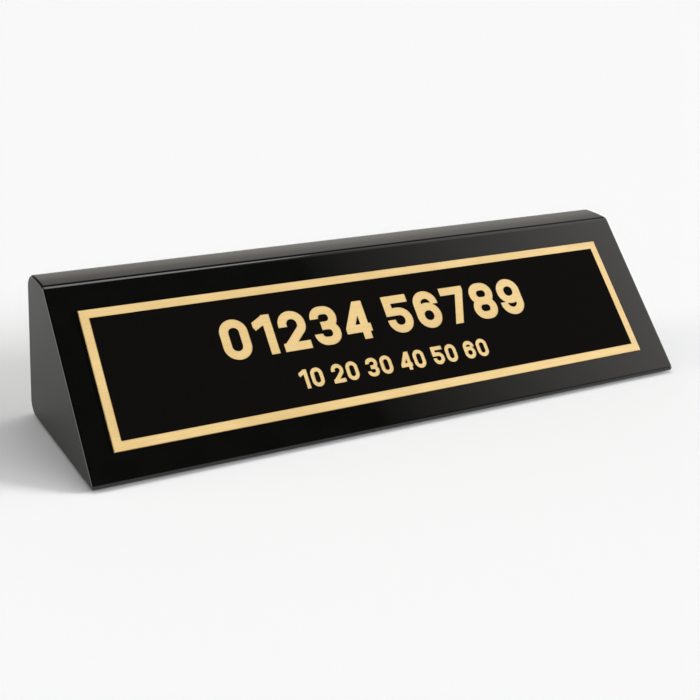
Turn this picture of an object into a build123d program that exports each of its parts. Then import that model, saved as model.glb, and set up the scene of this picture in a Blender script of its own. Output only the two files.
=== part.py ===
"""Desk name plate: a wedge-shaped block under a thick gloss coat, with a brass name plate on its sloping face.

Millimetres. +X runs along the block, the sloping face looks towards -Y and up, and +Z is up.
The origin is on the table, under the middle of the block.
"""
import os
from math import atan2, cos, hypot, sin

from build123d import *

os.makedirs("parts", exist_ok=True)

# Finished block, measured over the coat
block_length = 215.9
block_depth = 58.0
ledge_depth = 15.4
ledge_crown = 0.4
nose_height = 1.6

# Core: fibreboards glued into one slab, from the bottom up
board_names = ["lower", "middle", "upper"]
board_thickness = 15.0
glue_thickness = 0.15

# Gloss coat
coat_thickness = 0.5

# Roundings of the finished block: edge_rounding is for the nose and all round both ends
edge_rounding = 0.9
face_top_rounding = 3.0
back_top_rounding = 5.0
back_bottom_rounding = 5.0

# Name plate, set in from the edges of the sloping face
plate_left_margin = 8.4
plate_right_margin = 11.6
plate_top_margin = 9.2
plate_bottom_margin = 8.2
plate_thickness = 0.5
plate_edge_break = 0.12
border_width = 2.8
coating_thickness = 0.08
plate_film_thickness = 0.15
plate_film_margin = 1.0

# Felt, set in from the edges of the flat underside
felt_margin = 2.6
felt_thickness = 1.0
felt_film_thickness = 0.15
felt_corner_radius = 3.0
felt_clearance = 0.3

# Levels above the table
board_count = len(board_names)
board_pitch = board_thickness + glue_thickness
core_bottom = felt_thickness + felt_film_thickness
core_top = core_bottom + board_count * board_pitch - glue_thickness
block_bottom = core_bottom - coat_thickness
block_top = core_top + coat_thickness

# Corners of the end outline, before rounding
front_y = -block_depth / 2
back_y = block_depth / 2
ledge_front_y = back_y - ledge_depth
ledge_middle_y = back_y - ledge_depth / 2
ledge_edge = block_top - ledge_crown
nose_top = block_bottom + nose_height

# Sloping face
face_run = ledge_front_y - front_y
face_rise = ledge_edge - nose_top
face_angle = atan2(face_rise, face_run)
face_middle = (0, front_y + face_run / 2, nose_top + face_rise / 2)
face_plane = Plane(origin=face_middle, x_dir=(1, 0, 0), z_dir=(0, -sin(face_angle), cos(face_angle)))

# Name plate outline, and the place of its middle on the sloping face
plate_length = block_length - plate_left_margin - plate_right_margin
plate_height = hypot(face_run, face_rise) - plate_top_margin - plate_bottom_margin
plate_x = (plate_left_margin - plate_right_margin) / 2
plate_y = (plate_bottom_margin - plate_top_margin) / 2
plate_seat = face_plane.shift_origin(face_plane.from_local_coords((plate_x, plate_y, 0)))

# Felt outline
felt_length = block_length - 2 * (edge_rounding + felt_margin)
felt_front_y = front_y + edge_rounding + felt_margin
felt_back_y = back_y - back_bottom_rounding - felt_margin
felt_depth = felt_back_y - felt_front_y
felt_middle_y = (felt_front_y + felt_back_y) / 2


def long_edge(part, y, z):
    """The edge along X that runs nearest to a corner of the end outline."""
    return part.edges().filter_by(Axis.X).sort_by_distance((0, y, z))[0]


def wedge(inset):
    """The rounded wedge, drawn in by the same amount on every side."""
    with BuildPart() as shape:
        with BuildSketch(Plane.YZ):
            with BuildLine():
                Polyline(
                    (back_y, ledge_edge),
                    (back_y, block_bottom),
                    (front_y, block_bottom),
                    (front_y, nose_top),
                    (ledge_front_y, ledge_edge),
                )
                ThreePointArc((ledge_front_y, ledge_edge), (ledge_middle_y, block_top), (back_y, ledge_edge))
            make_face()
            if inset:
                offset(amount=-inset, kind=Kind.INTERSECTION, mode=Mode.REPLACE)
        extrude(amount=block_length / 2 - inset, both=True)
        fillet(long_edge(shape, ledge_front_y, ledge_edge), radius=face_top_rounding - inset)
        fillet(long_edge(shape, back_y, ledge_edge), radius=back_top_rounding - inset)
        fillet(long_edge(shape, back_y, block_bottom), radius=back_bottom_rounding - inset)
        nose_edges = [long_edge(shape, front_y, block_bottom), long_edge(shape, front_y, nose_top)]
        end_edges = shape.faces().filter_by(Axis.X).edges()
        fillet(nose_edges + list(end_edges), radius=edge_rounding - inset)
    return shape.part


def felt_outline(growth):
    """The felt's outline on the underside, grown by a clearance. Called inside a sketch."""
    with Locations((0, felt_middle_y)):
        RectangleRounded(felt_length + 2 * growth, felt_depth + 2 * growth, felt_corner_radius + growth)


finished_block = wedge(0)
core_block = wedge(coat_thickness)

# Core boards, each sawn to the wedge
for number, board_name in enumerate(board_names):
    board_bottom = core_bottom + number * board_pitch
    with BuildPart() as core_board:
        add(core_block)
        split(bisect_by=Plane.XY.offset(board_bottom), keep=Keep.TOP)
        split(bisect_by=Plane.XY.offset(board_bottom + board_thickness), keep=Keep.BOTTOM)
    core_board.part.label = f"core_board_{board_name}"
    export_step(core_board.part, f"parts/core_board_{board_name}.step")

# Glue films between the boards
with BuildPart() as board_glue:
    for number in range(1, board_count):
        with BuildSketch(Plane.XY.offset(core_bottom + number * board_pitch - glue_thickness)):
            Rectangle(block_length, block_depth)
        extrude(amount=glue_thickness)
    add(core_block, mode=Mode.INTERSECT)
board_glue.part.label = "board_glue"
export_step(board_glue.part, "parts/board_glue.step")

# Gloss coat: open underneath, where the felt is glued to the bare core
with BuildPart() as lacquer_coat:
    add(finished_block)
    add(core_block, mode=Mode.SUBTRACT)
    with BuildSketch(Plane.XY.offset(block_bottom)):
        felt_outline(felt_clearance)
    extrude(amount=coat_thickness, mode=Mode.SUBTRACT)
lacquer_coat.part.label = "lacquer_coat"
export_step(lacquer_coat.part, "parts/lacquer_coat.step")

# Adhesive film behind the name plate
with BuildPart() as plate_adhesive:
    with BuildSketch(plate_seat):
        Rectangle(plate_length - 2 * plate_film_margin, plate_height - 2 * plate_film_margin)
    extrude(amount=plate_film_thickness)
plate_adhesive.part.label = "plate_adhesive"
export_step(plate_adhesive.part, "parts/plate_adhesive.step")

# Brass name plate, its front edges broken
plate_back = plate_seat.offset(plate_film_thickness)
with BuildPart() as brass_plate:
    with BuildSketch(plate_back):
        Rectangle(plate_length, plate_height)
    extrude(amount=plate_thickness)
    front_face = brass_plate.faces().sort_by(Axis(plate_back.origin, plate_back.z_dir))[-1]
    chamfer(front_face.edges(), length=plate_edge_break)
brass_plate.part.label = "brass_plate"
export_step(brass_plate.part, "parts/brass_plate.step")

# Black coating on the plate, inside the bare border
plate_front = plate_back.offset(plate_thickness)
with BuildPart() as plate_coating:
    with BuildSketch(plate_front):
        Rectangle(plate_length - 2 * border_width, plate_height - 2 * border_width)
    extrude(amount=coating_thickness)
plate_coating.part.label = "plate_coating"
export_step(plate_coating.part, "parts/plate_coating.step")

# Felt that the block stands on
with BuildPart() as felt_pad:
    with BuildSketch():
        felt_outline(0)
    extrude(amount=felt_thickness)
felt_pad.part.label = "felt_pad"
export_step(felt_pad.part, "parts/felt_pad.step")

# Adhesive film between the felt and the core
with BuildPart() as felt_adhesive:
    with BuildSketch(Plane.XY.offset(felt_thickness)):
        felt_outline(0)
    extrude(amount=felt_film_thickness)
felt_adhesive.part.label = "felt_adhesive"
export_step(felt_adhesive.part, "parts/felt_adhesive.step")
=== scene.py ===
"""Desk name plate: the looks of its pieces, with a floor, soft light and a camera.

Metres. +X runs along the block, the sloping face looks towards -Y and up, and +Z is up.
"""

import cmath
import math

import bmesh
import bpy
from mathutils import Matrix, Quaternion, Vector, noise
from mathutils.geometry import delaunay_2d_cdt


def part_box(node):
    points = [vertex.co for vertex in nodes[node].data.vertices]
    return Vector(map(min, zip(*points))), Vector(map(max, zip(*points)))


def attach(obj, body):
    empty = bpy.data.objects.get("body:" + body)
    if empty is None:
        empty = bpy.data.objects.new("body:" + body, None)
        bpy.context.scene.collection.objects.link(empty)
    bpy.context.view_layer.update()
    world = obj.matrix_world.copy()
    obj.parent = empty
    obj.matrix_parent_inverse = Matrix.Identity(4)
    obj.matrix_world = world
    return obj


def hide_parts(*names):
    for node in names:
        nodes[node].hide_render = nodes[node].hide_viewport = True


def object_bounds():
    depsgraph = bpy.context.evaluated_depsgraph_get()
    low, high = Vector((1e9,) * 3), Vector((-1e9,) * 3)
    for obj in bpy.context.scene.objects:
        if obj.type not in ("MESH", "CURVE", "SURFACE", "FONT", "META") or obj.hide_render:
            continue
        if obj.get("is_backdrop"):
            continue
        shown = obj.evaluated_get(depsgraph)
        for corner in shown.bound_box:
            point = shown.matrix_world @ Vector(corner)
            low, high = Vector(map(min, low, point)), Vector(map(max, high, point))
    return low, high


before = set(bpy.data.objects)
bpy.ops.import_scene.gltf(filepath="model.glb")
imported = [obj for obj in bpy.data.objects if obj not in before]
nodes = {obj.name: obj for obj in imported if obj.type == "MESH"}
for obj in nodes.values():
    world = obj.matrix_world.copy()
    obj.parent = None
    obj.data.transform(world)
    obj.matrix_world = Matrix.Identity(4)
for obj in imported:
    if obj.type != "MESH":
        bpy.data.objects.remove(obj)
cad_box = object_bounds()

MM = 0.001

# Camera, with a small roll, and with the picture's optical centre above its middle
camera_place = Vector((-0.20724, -0.32679, 0.16766))
camera_target = Vector((-0.01358, -0.00256, 0.05206))
camera_roll = math.radians(2.833)
camera_lens = 64.05
camera_shift = -0.143

# Lines of numerals cut through the plate's coating: what they say, their height, their width over all,
# and how far their middle lies above the plate's middle
numeral_lines = [
    ("01234 56789", 13.5 * MM, 114 * MM, 5.6 * MM),
    ("10 20 30 40 50 60", 6.4 * MM, 71 * MM, -10.8 * MM),
]

# Shape of the numerals, in parts of their height
numeral_width = 0.66
narrow_width = 0.46
numeral_stroke = 0.21
numeral_gap = 0.13
word_gap = 0.45
waist = 0.5

# How finely the numerals are drawn, with same_point in parts of their height and cut_tolerance in metres
arc_steps = 6
same_point = 1e-4
cut_tolerance = 1e-7

# What tells a slab's sloping front from its other faces
least_lean = 0.1
same_facing = 0.999

# Felt: the divisions of its mesh, the depth and grain of the fuzz under it and round its edge, its corners
felt_columns = 190
felt_rows = 56
felt_levels = 5
felt_fuzz = 0.12 * MM
felt_fuzz_grain = 0.9 * MM
felt_edge_fuzz = 0.18 * MM
felt_edge_grain = 0.6 * MM
felt_corner = 3.0 * MM

# Lacquer: how squarely it has to face an end for the polish to give way to satin, and how rough that is
satin_span = (0.93, 0.995)
satin_roughness = 0.45

# Floor
floor_size = 30.0
floor_colour = (0.97, 0.98, 0.995)
floor_roughness = 0.9
floor_specular = 0.1

# Light of the room by direction, on a scale from -1 to 1: a span is where a wall or panel fades in or out
room_colour = (1.0, 0.975, 0.92)
fill_light = 0.03
wall_light = 0.62
wall_top_span = (0.12, 0.38)
wall_front_share = 0.4
wall_front_span = (-0.6, -0.2)
back_light_low = 0.88
back_light_high = 0.25
back_light_span = (0.20, 0.62)
back_top_span = (0.58, 0.68)
back_front_span = (0.1, 0.4)
back_left_span = (-0.1, 0.15)
back_right_span = (0.46, 0.76)
back_right_share = 0.6
right_light_most = 1.35
right_light_rise = 2.4
right_light_span = (0.27, 0.74)
right_direction = (0.94, 0.33, 0.0)
right_left_span = (0.313, 0.327)
right_back_span = (0.10, 0.45)
left_light = 3.6
left_right_span = (-0.80, -0.65)
left_top_span = (0.40, 0.60)
left_front_span = (0.02, 0.20)

# Lamps: name, the direction that they shine from, strength, and width in degrees
lamps = [
    ("top_lamp", (-0.25, 0.25, 0.935), 0.64, 44.0),
    ("edge_lamp", (0.25, 0.14, 0.957), 0.55, 26.0),
    ("key_lamp", (0.87, -0.424, 0.25), 3.75, 18.0),
]


def add_node(tree, kind, inputs=None, **settings):
    """A new node with these settings. An input is a value, or the output that feeds it."""
    node = tree.nodes.new(kind)
    for name, value in settings.items():
        setattr(node, name, value)
    for name, value in (inputs or {}).items():
        if isinstance(value, bpy.types.NodeSocket):
            tree.links.new(value, node.inputs[name])
        else:
            node.inputs[name].default_value = value
    return node


def math_node(tree, operation, *numbers):
    """What an operation makes of one or two numbers, as an output."""
    return add_node(tree, "ShaderNodeMath", dict(enumerate(numbers)), operation=operation).outputs[0]


def fade(tree, value, span, before=1.0, after=0.0):
    """A number that goes smoothly from before to after as the value crosses the span."""
    start, end = span
    return add_node(
        tree,
        "ShaderNodeMapRange",
        {"Value": value, "From Min": start, "From Max": end, "To Min": before, "To Max": after},
        interpolation_type="SMOOTHSTEP",
    ).outputs["Result"]


def between(tree, factor, low, high):
    """A number that goes from low to high as the factor goes from 0 to 1."""
    return add_node(
        tree, "ShaderNodeMapRange", {"Value": factor, "To Min": low, "To Max": high}
    ).outputs["Result"]


def object_noise(tree, cycles, detail, stretch=(1.0, 1.0, 1.0)):
    """Noise from 0 to 1 in the part's own frame, with so many cycles a metre, times the stretch."""
    place = add_node(tree, "ShaderNodeTexCoord")
    mapped = add_node(tree, "ShaderNodeMapping", {"Vector": place.outputs["Object"], "Scale": stretch})
    return add_node(
        tree, "ShaderNodeTexNoise", {"Vector": mapped.outputs["Vector"], "Scale": cycles, "Detail": detail}
    ).outputs["Fac"]


def new_material(name):
    """A material with only a Principled shader and an output, the tree that holds them, and the shader."""
    material = bpy.data.materials.new(name)
    material.use_nodes = True
    tree = material.node_tree
    return material, tree, tree.nodes["Principled BSDF"]


def paint(tree, shader, factor, dark, light, stops=(0.3, 0.7)):
    """Colours the shader from dark to light as the factor goes from one stop to the other."""
    ramp = add_node(tree, "ShaderNodeValToRGB", {"Fac": factor})
    for element, stop, colour in zip(ramp.color_ramp.elements, stops, (dark, light)):
        element.position = stop
        element.color = (*colour, 1.0)
    tree.links.new(ramp.outputs["Color"], shader.inputs["Base Color"])


def roughen(tree, shader, roughness):
    tree.links.new(roughness, shader.inputs["Roughness"])


def emboss(tree, shader, height, depth):
    """Bends the shader's normal by a height from 0 to 1, which stands for a depth in metres."""
    bumped = add_node(tree, "ShaderNodeBump", {"Height": height, "Distance": depth, "Strength": 1.0})
    tree.links.new(bumped.outputs["Normal"], shader.inputs["Normal"])


def lacquer_material():
    """Polished black lacquer: deep gloss, with a trace of orange peel and haze, and satin on the ends."""
    material, tree, shader = new_material("piano_lacquer")
    haze = object_noise(tree, cycles=90.0, detail=3.0)
    peel = object_noise(tree, cycles=300.0, detail=1.0)
    facing = add_node(tree, "ShaderNodeTexCoord").outputs["Normal"]
    along = add_node(tree, "ShaderNodeSeparateXYZ", {"Vector": facing}).outputs["X"]
    satin = fade(tree, math_node(tree, "ABSOLUTE", along), satin_span, before=0.0, after=satin_roughness)
    paint(tree, shader, haze, dark=(0.0022, 0.0022, 0.0021), light=(0.0034, 0.0033, 0.0031))
    roughen(tree, shader, math_node(tree, "ADD", between(tree, haze, low=0.02, high=0.05), satin))
    emboss(tree, shader, peel, depth=0.003 * MM)
    shader.inputs["IOR"].default_value = 1.5
    return material


def brass_material():
    """Satin brass, brushed along the plate."""
    material, tree, shader = new_material("satin_brass")
    grain = object_noise(tree, cycles=1.0, detail=2.0, stretch=(40.0, 5000.0, 5000.0))
    cloud = object_noise(tree, cycles=60.0, detail=2.0)
    mixed = math_node(tree, "MULTIPLY", grain, cloud)
    paint(tree, shader, mixed, dark=(0.66, 0.46, 0.18), light=(0.80, 0.58, 0.26), stops=(0.1, 0.45))
    roughen(tree, shader, between(tree, grain, low=0.50, high=0.64))
    emboss(tree, shader, grain, depth=0.004 * MM)
    shader.inputs["Metallic"].default_value = 0.1
    return material


def coating_material():
    """Matt black coating with a fine grain."""
    material, tree, shader = new_material("matt_coating")
    grain = object_noise(tree, cycles=2600.0, detail=3.0)
    paint(tree, shader, grain, dark=(0.0036, 0.0030, 0.0025), light=(0.0054, 0.0046, 0.0038))
    roughen(tree, shader, between(tree, grain, low=0.75, high=0.90))
    emboss(tree, shader, grain, depth=0.01 * MM)
    shader.inputs["Specular IOR Level"].default_value = 0.01
    return material


def felt_material():
    """Pressed black felt: short tangled fibres with a soft sheen."""
    material, tree, shader = new_material("black_felt")
    fibres = object_noise(tree, cycles=2200.0, detail=6.0, stretch=(1.0, 1.7, 1.0))
    paint(tree, shader, fibres, dark=(0.006, 0.006, 0.006), light=(0.024, 0.023, 0.022))
    roughen(tree, shader, between(tree, fibres, low=0.88, high=1.0))
    emboss(tree, shader, fibres, depth=0.25 * MM)
    shader.inputs["Sheen Weight"].default_value = 0.25
    shader.inputs["Sheen Roughness"].default_value = 0.5
    shader.inputs["Specular IOR Level"].default_value = 0.2
    return material


def fibreboard_material():
    """Sanded fibreboard: pale and dark fibres pressed together."""
    material, tree, shader = new_material("fibreboard")
    fibres = object_noise(tree, cycles=900.0, detail=8.0, stretch=(1.0, 1.0, 2.5))
    paint(tree, shader, fibres, dark=(0.30, 0.19, 0.11), light=(0.50, 0.36, 0.23))
    roughen(tree, shader, between(tree, fibres, low=0.7, high=0.9))
    emboss(tree, shader, fibres, depth=0.05 * MM)
    return material


def glue_material():
    """Cured wood glue, amber and a little cloudy."""
    material, tree, shader = new_material("wood_glue")
    cloud = object_noise(tree, cycles=400.0, detail=3.0)
    paint(tree, shader, cloud, dark=(0.62, 0.50, 0.28), light=(0.80, 0.70, 0.48))
    roughen(tree, shader, between(tree, cloud, low=0.35, high=0.55))
    return material


def adhesive_material():
    """Milky adhesive film with a faint fleck."""
    material, tree, shader = new_material("adhesive_film")
    fleck = object_noise(tree, cycles=1500.0, detail=3.0)
    paint(tree, shader, fleck, dark=(0.68, 0.66, 0.60), light=(0.80, 0.78, 0.73))
    roughen(tree, shader, between(tree, fleck, low=0.4, high=0.6))
    return material


def set_material(piece, material):
    piece.data.materials.clear()
    piece.data.materials.append(material)


def add_piece(name, mesh, material):
    """A new piece of the object, which moves with the one body."""
    piece = bpy.data.objects.new(name, mesh)
    bpy.context.scene.collection.objects.link(piece)
    set_material(piece, material)
    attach(piece, "root")
    return piece


def finished_mesh(name, draft):
    """The mesh of a bmesh draft, with its faces turned outwards."""
    bmesh.ops.recalc_face_normals(draft, faces=draft.faces)
    mesh = bpy.data.meshes.new(name)
    draft.to_mesh(mesh)
    draft.free()
    return mesh


def front_of(node):
    """A slab's sloping front: the frame in its middle, its width and its height.

    The frame has X along the block, Y up the slope and Z outwards.
    """
    slab = nodes[node].data
    leaning = [p for p in slab.polygons if p.normal.z > least_lean and p.normal.y < -least_lean]
    out = max(leaning, key=lambda p: p.area).normal.normalized()
    front = [p for p in leaning if p.normal.dot(out) > same_facing]
    points = [slab.vertices[i].co for p in front for i in p.vertices]
    low = Vector(map(min, *points))
    high = Vector(map(max, *points))
    along = Vector((1, 0, 0))
    up = out.cross(along)
    place = Matrix((along, up, out)).transposed().to_4x4()
    place.translation = (low + high) / 2
    return place, high.x - low.x, (high - low).dot(up)


def unit(number):
    return number / abs(number)


def numeral_paths(numeral):
    """A numeral's centre lines: the corners of each, and whether it closes.

    A corner is a complex number and a rounding, in parts of the numeral's height.
    """
    left = numeral_stroke / 2
    right = numeral_width - left
    low = left
    high = 1 - left
    full = (right - left) / 2
    small = (high - waist) / 2 - 0.01
    high_left = (complex(left, high), full)
    high_right = (complex(right, high), full)
    low_left = (complex(left, low), full)
    low_right = (complex(right, low), full)
    waist_right = (complex(right, waist), small)
    tongue = complex(0.22, waist)
    one_stem = narrow_width - left
    four_stem = 0.495
    four_bar = 0.29
    five_belly = 0.57
    six_bowl = 0.58

    def loop(bottom, top, rounding):
        corners = (complex(left, bottom), complex(right, bottom), complex(right, top), complex(left, top))
        return [(corner, rounding) for corner in corners], True

    def line(*corners):
        """An open line. A corner with no rounding of its own is sharp."""
        return [corner if isinstance(corner, tuple) else (corner, 0) for corner in corners], False

    def tighter(corner):
        return corner[0], small

    def half_turned(paths):
        return [([(numeral_width + 1j - c, r) for c, r in corners], closed) for corners, closed in paths]

    six = [
        loop(low, six_bowl, full),
        line(complex(right, 0.63), high_right, high_left, complex(left, 0.3)),
    ]
    return {
        "0": [loop(low, high, full)],
        "1": [line(one_stem, complex(one_stem, 1)), line(0.72j, complex(one_stem, 0.92))],
        "2": [
            line(
                complex(left, 0.61),
                high_left,
                high_right,
                (complex(right, 0.55), 0.2),
                complex(left - 0.15, low - 0.15),
            ),
            line(complex(0, low), complex(numeral_width, low)),
        ],
        "3": [
            line(complex(left, 0.69), tighter(high_left), tighter(high_right), waist_right, tongue),
            line(complex(left, 0.31), tighter(low_left), tighter(low_right), waist_right, tongue),
        ],
        "4": [
            line(four_stem, complex(four_stem, 1)),
            line(complex(0.475, 1), complex(0.1, four_bar), complex(numeral_width, four_bar)),
        ],
        "5": [
            line(complex(numeral_width, high), complex(left, high), complex(left, five_belly - left)),
            line(
                complex(left, five_belly),
                (complex(right, five_belly), full),
                low_right,
                low_left,
                complex(left, 0.37),
            ),
        ],
        "6": six,
        "7": [line(complex(0, high), complex(right, high), complex(0.24, -0.06))],
        "8": [loop(low, waist, small), loop(waist, high, small)],
        "9": half_turned(six),
    }[numeral]


def rounded(corners):
    """The path through the corners, with each rounding drawn as an arc."""
    path = []
    for i, (corner, radius) in enumerate(corners):
        if not radius:
            path.append(corner)
            continue
        before = unit(corners[i - 1][0] - corner)
        after = unit(corners[(i + 1) % len(corners)][0] - corner)
        half = abs(cmath.phase(after / before)) / 2
        centre = corner + unit(before + after) * radius / math.sin(half)
        start = corner + before * radius / math.tan(half) - centre
        end = corner + after * radius / math.tan(half) - centre
        turn = cmath.phase(end / start)
        path += [centre + start * cmath.rect(1, turn * step / arc_steps) for step in range(arc_steps + 1)]
    return [point for point, last in zip(path, path[-1:] + path[:-1]) if abs(point - last) > same_point]


def bands(path, closed):
    """Four-sided pieces, end to end, that give a path the stroke's width."""
    sides = []
    for i, point in enumerate(path):
        ahead = path[(i + 1) % len(path)] - point
        behind = point - path[i - 1]
        if not closed and i == 0:
            behind = ahead
        if not closed and i == len(path) - 1:
            ahead = behind
        across = 1j * unit(unit(behind) + unit(ahead))
        reach = numeral_stroke / 2 / (across / unit(1j * ahead)).real
        sides.append((point + across * reach, point - across * reach))
    following = sides[1:] + sides[:1] if closed else sides[1:]
    return [(a, b, d, c) for (a, b), (c, d) in zip(sides, following)]


def line_outlines(text, height, width, middle):
    """Each numeral of a line of text as its box and its bands, all as corners on the plate."""
    starts = []
    place = 0.0
    for letter in text:
        if letter == " ":
            place += word_gap - numeral_gap
            continue
        letter_width = narrow_width if letter == "1" else numeral_width
        starts.append((letter, place, letter_width))
        place += letter_width + numeral_gap
    length = place - numeral_gap

    def on_plate(start, corners):
        return [
            Vector(((start + c.real - length / 2) * width / length, (c.imag - 0.5) * height + middle))
            for c in corners
        ]

    for letter, start, letter_width in starts:
        box = on_plate(start, (0, letter_width, letter_width + 1j, 1j))
        strokes = [
            on_plate(start, band)
            for corners, closed in numeral_paths(letter)
            for band in bands(rounded(corners), closed)
        ]
        yield box, strokes


def engraved_coating(material):
    """The coating with the numerals cut through to the brass."""
    place, width, height = front_of("plate_coating")
    out = place.col[2].to_3d()
    thickness = -min((v.co - place.translation).dot(out) for v in nodes["plate_coating"].data.vertices)
    points = [Vector((x * width / 2, y * height / 2)) for x, y in ((-1, -1), (1, -1), (1, 1), (-1, 1))]
    outlines = [[0, 1, 2, 3]]
    box_of = {}

    def add_outline(corners):
        outlines.append(list(range(len(points), len(points) + len(corners))))
        points.extend(corners)
        return len(outlines) - 1

    for line in numeral_lines:
        for box, strokes in line_outlines(*line):
            box_number = add_outline(box)
            for stroke in strokes:
                box_of[add_outline(stroke)] = box_number
    flat_points, _, faces, _, _, sources = delaunay_2d_cdt(points, [], outlines, 0, cut_tolerance)
    kept = [f for f, inside in zip(faces, sources) if not any(box_of.get(n) in inside for n in inside)]

    draft = bmesh.new()
    used = sorted({i for face in kept for i in face})
    top = {i: draft.verts.new(place @ flat_points[i].to_3d()) for i in used}
    bottom = {i: draft.verts.new(top[i].co - out * thickness) for i in used}
    edges = {(face[k - 1], face[k]) for face in kept for k in range(len(face))}
    for face in kept:
        draft.faces.new([top[i] for i in face])
        draft.faces.new([bottom[i] for i in reversed(face)])
    for a, b in sorted(edges):
        if (b, a) not in edges:
            draft.faces.new((top[b], top[a], bottom[a], bottom[b]))
    mesh = finished_mesh("engraved_coating", draft)
    piece = add_piece("engraved_coating", mesh, material)
    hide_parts("plate_coating")


def fuzz(point, grain):
    """Noise from 0 to 1 at a point, about as coarse as the grain."""
    return 0.5 + 0.5 * noise.noise(point / grain)


def felt_mesh():
    """A thin slab of felt with rounded corners, an uneven underside and a fuzzy edge."""
    low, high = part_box("felt_pad")
    half_x = (high.x - low.x) / 2
    half_y = (high.y - low.y) / 2
    middle = (low + high) / 2
    last_level = felt_levels - 1
    draft = bmesh.new()

    def half_length(y):
        into_corner = max(0.0, abs(y) - (half_y - felt_corner))
        return half_x - felt_corner + math.sqrt(max(0.0, felt_corner ** 2 - into_corner ** 2))

    def vertex(column, row, level):
        y = half_y * math.sin(math.pi / 2 * (2 * row / felt_rows - 1))
        x = half_length(y) * (2 * column / felt_columns - 1)
        z = high.z + (low.z - high.z) * level / last_level
        point = Vector((x + middle.x, y + middle.y, z))
        on_edge = column in (0, felt_columns) or row in (0, felt_rows)
        if on_edge and 0 < level:
            outward = Vector((x / half_x ** 2, y / half_y ** 2, 0)).normalized()
            point -= outward * felt_edge_fuzz * fuzz(point, felt_edge_grain)
        if level == last_level:
            point.z += felt_fuzz * fuzz(point, felt_fuzz_grain)
        return draft.verts.new(point)

    def grid(level):
        return [[vertex(c, r, level) for c in range(felt_columns + 1)] for r in range(felt_rows + 1)]

    def rim_of(rows):
        """What lies round a grid's edge, in order."""
        right = [row[-1] for row in rows[1:-1]]
        left = [row[0] for row in rows[1:-1]]
        return rows[0] + right + rows[-1][::-1] + left[::-1]

    top = grid(0)
    bottom = grid(last_level)
    for rows, flip in ((top, False), (bottom, True)):
        for r in range(felt_rows):
            for c in range(felt_columns):
                face = [rows[r][c], rows[r][c + 1], rows[r + 1][c + 1], rows[r + 1][c]]
                draft.faces.new(face[::-1] if flip else face)
    places = rim_of([[(c, r) for c in range(felt_columns + 1)] for r in range(felt_rows + 1)])
    rims = [rim_of(top)]
    rims += [[vertex(c, r, level) for c, r in places] for level in range(1, last_level)]
    rims += [rim_of(bottom)]
    for upper, lower in zip(rims, rims[1:]):
        for i in range(len(upper)):
            j = (i + 1) % len(upper)
            draft.faces.new((upper[j], upper[i], lower[i], lower[j]))
    mesh = finished_mesh("felt_base", draft)
    mesh.shade_smooth()
    return mesh


def add_felt():
    felt = add_piece("felt_base", felt_mesh(), felt_material())
    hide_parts("felt_pad")


def add_floor():
    """A plain white floor."""
    bpy.ops.mesh.primitive_plane_add(size=floor_size)
    floor = bpy.context.object
    floor.name = "floor"
    material, tree, shader = new_material("white_floor")
    shader.inputs["Base Color"].default_value = (*floor_colour, 1.0)
    shader.inputs["Roughness"].default_value = floor_roughness
    shader.inputs["Specular IOR Level"].default_value = floor_specular
    set_material(floor, material)
    floor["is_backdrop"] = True


def panel(tree, brightness, *edges):
    """A lit stretch of the room, which dies away over its edges."""
    for edge in edges:
        brightness = math_node(tree, "MULTIPLY", brightness, edge)
    return brightness


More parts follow.
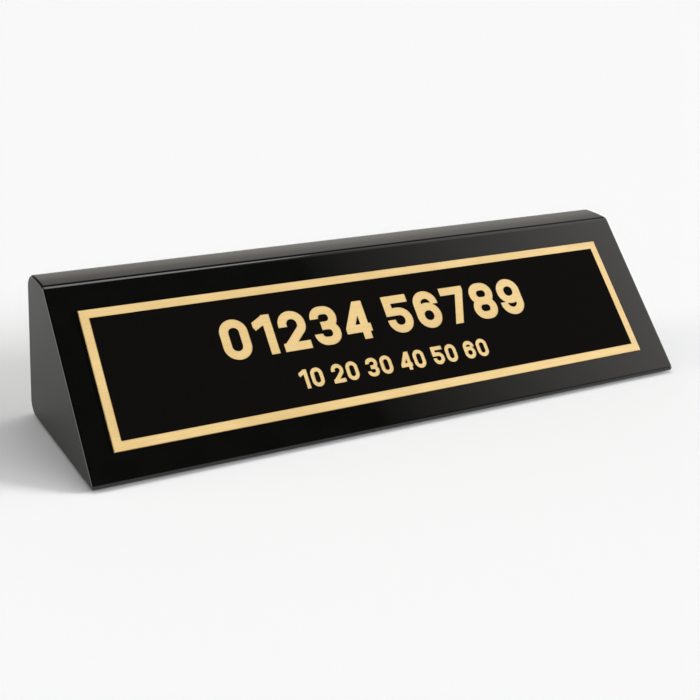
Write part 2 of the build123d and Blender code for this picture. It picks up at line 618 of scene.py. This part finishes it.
def add_world():
    """A low band of pale wall, and soft panels at the back, right and left, under a dark ceiling.

    They give the gloss something to mirror.
    """
    world = bpy.data.worlds.new("studio")
    bpy.context.scene.world = world
    world.use_nodes = True
    tree = world.node_tree
    background = tree.nodes["Background"]
    direction = add_node(tree, "ShaderNodeTexCoord").outputs["Generated"]
    parts = add_node(tree, "ShaderNodeSeparateXYZ", {"Vector": direction})
    x, y, z = (parts.outputs[name] for name in "XYZ")
    to_right = add_node(
        tree, "ShaderNodeVectorMath", {0: direction, 1: right_direction}, operation="DOT_PRODUCT"
    ).outputs["Value"]

    def rise(value, span, most=1.0):
        return fade(tree, value, span, before=0.0, after=most)

    wall = panel(
        tree,
        fade(tree, z, wall_top_span, before=wall_light),
        fade(tree, y, wall_front_span, before=wall_front_share, after=1.0),
    )
    back = panel(
        tree,
        fade(tree, z, back_light_span, before=back_light_low, after=back_light_high),
        fade(tree, z, back_top_span),
        rise(y, back_front_span),
        rise(x, back_left_span),
        fade(tree, x, back_right_span, after=back_right_share),
    )
    right = panel(
        tree,
        math_node(tree, "MINIMUM", rise(to_right, right_light_span, right_light_rise), right_light_most),
        fade(tree, y, right_back_span),
        rise(to_right, right_left_span),
    )
    left = panel(
        tree,
        fade(tree, x, left_right_span, before=left_light),
        fade(tree, z, left_top_span),
        rise(y, left_front_span),
    )
    brightest = wall
    for light in (back, right, left):
        brightest = math_node(tree, "MAXIMUM", brightest, light)
    tree.links.new(math_node(tree, "ADD", brightest, fill_light), background.inputs["Strength"])
    background.inputs["Color"].default_value = (*room_colour, 1.0)


def add_lamp(name, towards, strength, width_degrees):
    """A wide, soft, far-off lamp that shines from the direction given."""
    lamp = bpy.data.lights.new(name, "SUN")
    lamp.energy = strength
    lamp.angle = math.radians(width_degrees)
    shown = bpy.data.objects.new(name, lamp)
    shown.rotation_mode = "QUATERNION"
    shown.rotation_quaternion = Vector(towards).to_track_quat("Z", "Y")
    bpy.context.scene.collection.objects.link(shown)


def add_camera():
    data = bpy.data.cameras.new("camera")
    data.lens = camera_lens
    data.shift_y = camera_shift
    camera = bpy.data.objects.new("camera", data)
    camera.location = camera_place
    camera.rotation_mode = "QUATERNION"
    upright = (camera_target - camera_place).to_track_quat("-Z", "Y")
    camera.rotation_quaternion = upright @ Quaternion((0, 0, 1), camera_roll)
    bpy.context.scene.collection.objects.link(camera)
    bpy.context.scene.camera = camera


set_material(nodes["lacquer_coat"], lacquer_material())
set_material(nodes["brass_plate"], brass_material())
fibreboard = fibreboard_material()
for level in ("lower", "middle", "upper"):
    set_material(nodes[f"core_board_{level}"], fibreboard)
set_material(nodes["board_glue"], glue_material())
adhesive = adhesive_material()
for name in ("plate_adhesive", "felt_adhesive"):
    set_material(nodes[name], adhesive)
engraved_coating(coating_material())
add_felt()

add_floor()
add_world()
for lamp in lamps:
    add_lamp(*lamp)
add_camera()
bpy.context.scene.view_settings.view_transform = "Standard"

[[list(corner) for corner in box] for box in (cad_box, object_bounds())]
